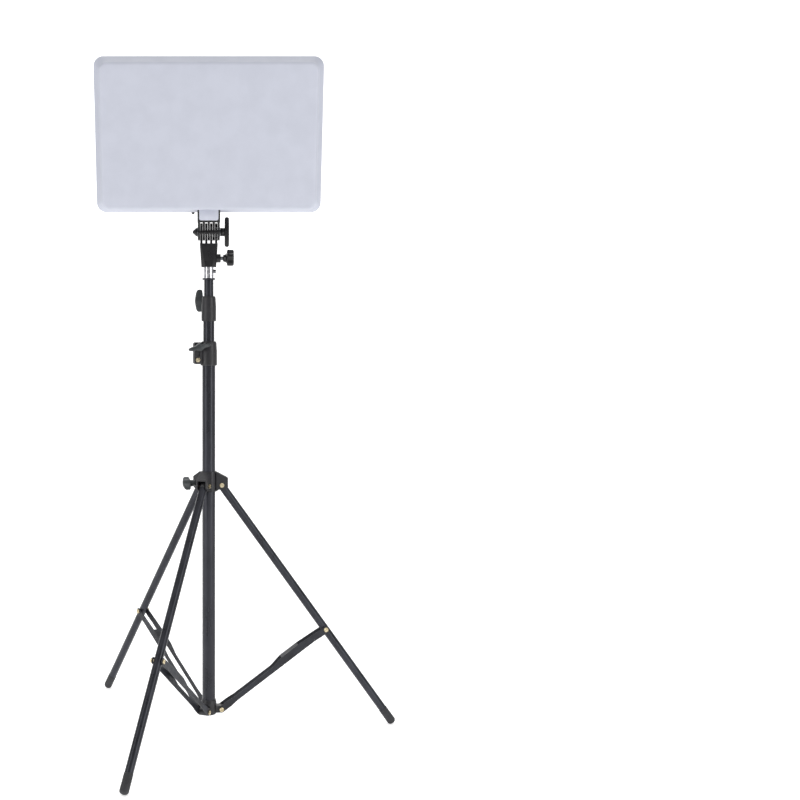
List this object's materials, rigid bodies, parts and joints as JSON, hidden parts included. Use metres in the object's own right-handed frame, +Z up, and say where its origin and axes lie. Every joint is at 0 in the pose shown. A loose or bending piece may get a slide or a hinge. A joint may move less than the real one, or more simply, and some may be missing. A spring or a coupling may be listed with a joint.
{
  "type": "led panel light",
  "caption": "Rectangular diffused panel lamp that tilts and pans on a telescoping mast with a folding leg tripod, clamp collars, wing knobs and a cross handle.",
  "frame": {"origin": "on the floor, on the axis of the mast", "axes": "+Z up along the mast, the lamp faces -Y, +X is to the lamp's left as one stands behind it"},
  "size_m": [0.4986, 0.5365, 1.0697],
  "materials": {
    "tube_charcoal": "satin",
    "collar_black": "satin",
    "knob_black": "matte",
    "screw_brass": "polished",
    "spigot_chrome": "polished",
    "steel_dark": "satin",
    "diffuser_white": "satin",
    "case_black": "satin",
    "board_white": "matte",
    "led_cool": "gloss",
    "led_warm": "gloss",
    "board_green": "satin",
    "button_black": "matte",
    "foot_rubber": "matte",
    "brace_black": "satin",
    "insert_brass": "satin"
  },
  "bodies": {
    "stand": {"outer_tube": "tube_charcoal", "lower_collar": "collar_black", "lower_collar_screws": "screw_brass", "base_hub": "collar_black", "hub_screws": "screw_brass"},
    "lower_knob": {"lower_knob": "knob_black"},
    "spider": {"spider": "collar_black", "spider_screws": "screw_brass"},
    "spider_knob": {"spider_knob": "knob_black", "spider_clamp_screw": "steel_dark"},
    "middle_mast": {"middle_tube": "tube_charcoal", "middle_tube_plug": "collar_black", "upper_collar": "collar_black", "upper_collar_screws": "screw_brass"},
    "upper_knob": {"upper_knob": "knob_black"},
    "upper_mast": {"upper_tube": "tube_charcoal", "upper_tube_plug": "collar_black", "spigot": "spigot_chrome", "spigot_flange": "tube_charcoal", "spigot_screw": "steel_dark"},
    "tilt_base": {"adapter_body": "collar_black", "pan_insert": "insert_brass", "tilt_nut": "knob_black", "tilt_washers": "steel_dark"},
    "pan_knob": {"pan_knob": "knob_black", "pan_screw": "steel_dark"},
    "tilt_handle": {"tilt_handle": "knob_black", "tilt_bolt": "steel_dark"},
    "panel": {"diffuser_cover": "diffuser_white", "back_cover": "case_black", "case_screws": "steel_dark", "led_board": "board_white", "board_screws": "steel_dark", "cool_leds": "led_cool", "warm_leds": "led_warm", "control_board": "board_green", "tact_switches": "button_black", "dc_inlet": "button_black", "panel_knuckle": "collar_black", "knuckle_plate": "steel_dark", "knuckle_screws": "steel_dark"},
    "power_button": {"power_button": "button_black"},
    "colour_button": {"colour_button": "button_black"},
    "leg_1": {"leg_1_tube": "tube_charcoal", "leg_1_pivot_plug": "collar_black", "leg_1_foot": "foot_rubber"},
    "brace_1": {"brace_1_channel": "brace_black", "brace_1_screws": "screw_brass"},
    "leg_2": {"leg_2_tube": "tube_charcoal", "leg_2_pivot_plug": "collar_black", "leg_2_foot": "foot_rubber"},
    "brace_2": {"brace_2_channel": "brace_black", "brace_2_screws": "screw_brass"},
    "leg_3": {"leg_3_tube": "tube_charcoal", "leg_3_pivot_plug": "collar_black", "leg_3_foot": "foot_rubber"},
    "brace_3": {"brace_3_channel": "brace_black", "brace_3_screws": "screw_brass"}
  },
  "joints": [
    {"name": "lower_mast_slide", "type": "slide", "parent": "stand", "child": "middle_mast", "axis": [0, 0, 1], "range_m": [-0.03, 0.45]},
    {"name": "upper_mast_slide", "type": "slide", "parent": "middle_mast", "child": "upper_mast", "axis": [0, 0, 1], "range_m": [-0.022, 0.45]},
    {"name": "spider_slide", "type": "slide", "parent": "stand", "child": "spider", "axis": [0, 0, 1], "range_m": [0, 0.142]},
    {"name": "leg_1_fold", "type": "hinge", "parent": "spider", "child": "leg_1", "pos_m": [0.01985, 0.00244, 0.403], "axis": [-0.1219, 0.9925, 0], "range_deg": [0, 35.6]},
    {"name": "brace_1_fold", "type": "hinge", "parent": "stand", "child": "brace_1", "pos_m": [0.01985, 0.00244, 0.0372], "axis": [0.1219, -0.9925, 0], "range_deg": [0, 53.75]},
    {"name": "leg_2_fold", "type": "hinge", "parent": "spider", "child": "leg_2", "pos_m": [-0.01204, 0.01597, 0.403], "axis": [-0.7986, -0.6018, 0], "range_deg": [0, 35.6]},
    {"name": "brace_2_fold", "type": "hinge", "parent": "stand", "child": "brace_2", "pos_m": [-0.01204, 0.01597, 0.0372], "axis": [0.7986, 0.6018, 0], "range_deg": [0, 53.75]},
    {"name": "leg_3_fold", "type": "hinge", "parent": "spider", "child": "leg_3", "pos_m": [-0.00782, -0.01841, 0.403], "axis": [0.9205, -0.3907, 0], "range_deg": [0, 35.6]},
    {"name": "brace_3_fold", "type": "hinge", "parent": "stand", "child": "brace_3", "pos_m": [-0.00782, -0.01841, 0.0372], "axis": [-0.9205, 0.3907, 0], "range_deg": [0, 53.75]},
    {"name": "lower_knob_turn", "type": "hinge", "parent": "stand", "child": "lower_knob", "pos_m": [-0.01748, -0.01009, 0.6245], "axis": [0.225, -0.9744, 0], "range_deg": [0, 540]},
    {"name": "upper_knob_turn", "type": "hinge", "parent": "middle_mast", "child": "upper_knob", "pos_m": [-0.00207, 0.01864, 0.6987], "axis": [-0.9781, 0.2079, 0], "range_deg": [0, 540]},
    {"name": "spider_knob_turn", "type": "hinge", "parent": "spider", "child": "spider_knob", "pos_m": [-0.01796, -0.00221, 0.406], "axis": [-0.9925, -0.1219, 0], "range_deg": [0, 540]},
    {"name": "pan", "type": "hinge", "parent": "upper_mast", "child": "tilt_base", "pos_m": [0, 0, 0.7515], "axis": [0, 0, 1], "range_deg": [-180, 180]},
    {"name": "pan_knob_turn", "type": "hinge", "parent": "tilt_base", "child": "pan_knob", "pos_m": [0.0189, 0, 0.7656], "axis": [1, 0, 0], "range_deg": [0, 540]},
    {"name": "tilt", "type": "hinge", "parent": "tilt_base", "child": "panel", "pos_m": [0, 0, 0.8071], "axis": [1, 0, 0], "range_deg": [-100, 75]},
    {"name": "tilt_handle_turn", "type": "hinge", "parent": "tilt_base", "child": "tilt_handle", "pos_m": [0.0185, 0, 0.8071], "axis": [1, 0, 0], "range_deg": [0, 270]},
    {"name": "power_button_press", "type": "slide", "parent": "panel", "child": "power_button", "axis": [-1, 0, 0], "range_m": [0, 0.0006], "stiffness_N_per_m": 800},
    {"name": "colour_button_press", "type": "slide", "parent": "panel", "child": "colour_button", "axis": [-1, 0, 0], "range_m": [0, 0.0006], "stiffness_N_per_m": 800}
  ],
  "couplings": [
    {"joint": "leg_1_fold", "follows": "spider_slide", "rad_per_m": 4.3703},
    {"joint": "brace_1_fold", "follows": "spider_slide", "rad_per_m": 6.5969},
    {"joint": "leg_2_fold", "follows": "spider_slide", "rad_per_m": 4.3703},
    {"joint": "brace_2_fold", "follows": "spider_slide", "rad_per_m": 6.5969},
    {"joint": "leg_3_fold", "follows": "spider_slide", "rad_per_m": 4.3703},
    {"joint": "brace_3_fold", "follows": "spider_slide", "rad_per_m": 6.5969}
  ]
}
